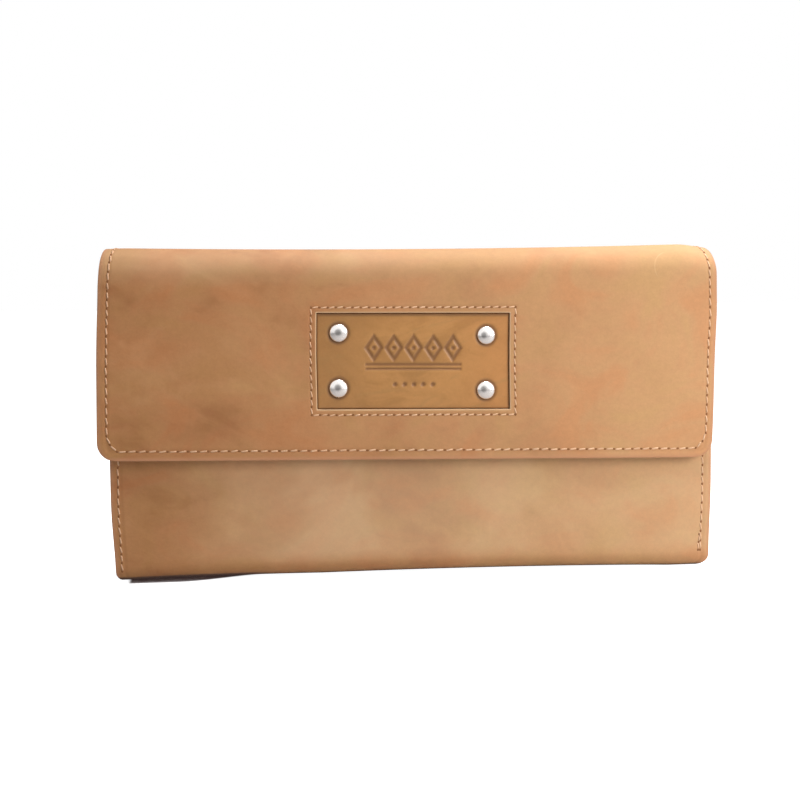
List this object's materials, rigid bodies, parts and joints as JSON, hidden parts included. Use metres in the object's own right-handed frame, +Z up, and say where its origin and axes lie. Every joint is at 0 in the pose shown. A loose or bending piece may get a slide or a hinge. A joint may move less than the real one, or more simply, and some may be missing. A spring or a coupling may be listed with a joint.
{
  "type": "long wallet",
  "caption": "Long leather wallet with a flap over the front, a riveted label plaque, card slots and a zipped middle pouch.",
  "frame": {"origin": "under the middle of the wallet's box, on the surface it stands on", "axes": "+X to the right along the width, -Y out of the flap's front, +Z up"},
  "size_m": [0.192, 0.0296, 0.1025],
  "materials": {
    "outer_leather": "waxed pull-up hide, satin",
    "label_leather": "smooth waxed, satin",
    "inner_leather": "smooth, satin",
    "lining": "fine twill",
    "interlining": "bonded fibre sheet, matt",
    "zipper_tape": "woven tape",
    "zipper_metal": "nickel-brushed brass",
    "nickel_hardware": "polished nickel"
  },
  "bodies": {
    "back": {"back_leather": "outer_leather", "back_interlining": "interlining", "back_lining": "lining", "card_slot_1": "inner_leather", "card_slot_2": "inner_leather", "card_slot_3": "inner_leather", "card_slot_4": "inner_leather", "gusset_left": "inner_leather", "gusset_right": "inner_leather"},
    "spine": {"spine_leather": "outer_leather", "spine_interlining": "interlining", "spine_lining": "lining"},
    "flap": {"flap_leather": "outer_leather", "flap_interlining": "interlining", "flap_lining": "lining", "label_plaque": "label_leather", "label_rivet_caps": "nickel_hardware", "label_rivet_backs": "nickel_hardware", "snap_stud": "nickel_hardware", "snap_stud_washer": "nickel_hardware"},
    "front": {"front_leather": "outer_leather", "front_interlining": "interlining", "front_lining": "lining", "front_slip_pocket": "inner_leather", "snap_socket": "nickel_hardware", "snap_socket_washer": "nickel_hardware"},
    "pouch": {"pouch_shell": "inner_leather", "pouch_lining": "lining", "pouch_ends": "inner_leather", "zipper_tape_front": "zipper_tape", "zipper_tape_back": "zipper_tape", "zipper_teeth_front": "zipper_metal", "zipper_teeth_back": "zipper_metal", "zipper_top_stops": "zipper_metal", "zipper_bottom_stop": "zipper_metal"},
    "slider": {"zipper_slider": "zipper_metal"},
    "pull": {"zipper_pull": "zipper_metal"}
  },
  "joints": [
    {"name": "flap_lift", "type": "hinge", "parent": "spine", "child": "flap", "pos_m": [0, -0.01151, 0.10016], "axis": [-1, 0, 0], "range_deg": [0, 90]},
    {"name": "spine_tilt", "type": "hinge", "parent": "back", "child": "spine", "pos_m": [0, 0.01251, 0.10016], "axis": [-1, 0, 0], "range_deg": [0, 90]},
    {"name": "front_open", "type": "hinge", "parent": "back", "child": "front", "pos_m": [0, -0.00759, 0.00146], "axis": [1, 0, 0], "range_deg": [0, 16], "deforming": ["gusset_left", "gusset_right"]},
    {"name": "pouch_tilt", "type": "hinge", "parent": "back", "child": "pouch", "pos_m": [0, 0.00215, 0.0079], "axis": [1, 0, 0], "range_deg": [0, 8]},
    {"name": "slider_travel", "type": "slide", "parent": "pouch", "child": "slider", "axis": [-1, 0, 0], "range_m": [0, 0.1557], "deforming": ["zipper_teeth_front", "zipper_teeth_back"]},
    {"name": "pull_flip", "type": "hinge", "parent": "slider", "child": "pull", "pos_m": [0.07875, 0.00215, 0.08015], "axis": [0, 1, 0], "range_deg": [0, 180]}
  ],
  "couplings": [
    {"joint": "spine_tilt", "follows": "flap_lift", "ratio": 1},
    {"joint": "front_open", "follows": "flap_lift", "ratio": 0.175},
    {"joint": "pouch_tilt", "follows": "flap_lift", "ratio": 0.0875}
  ]
}
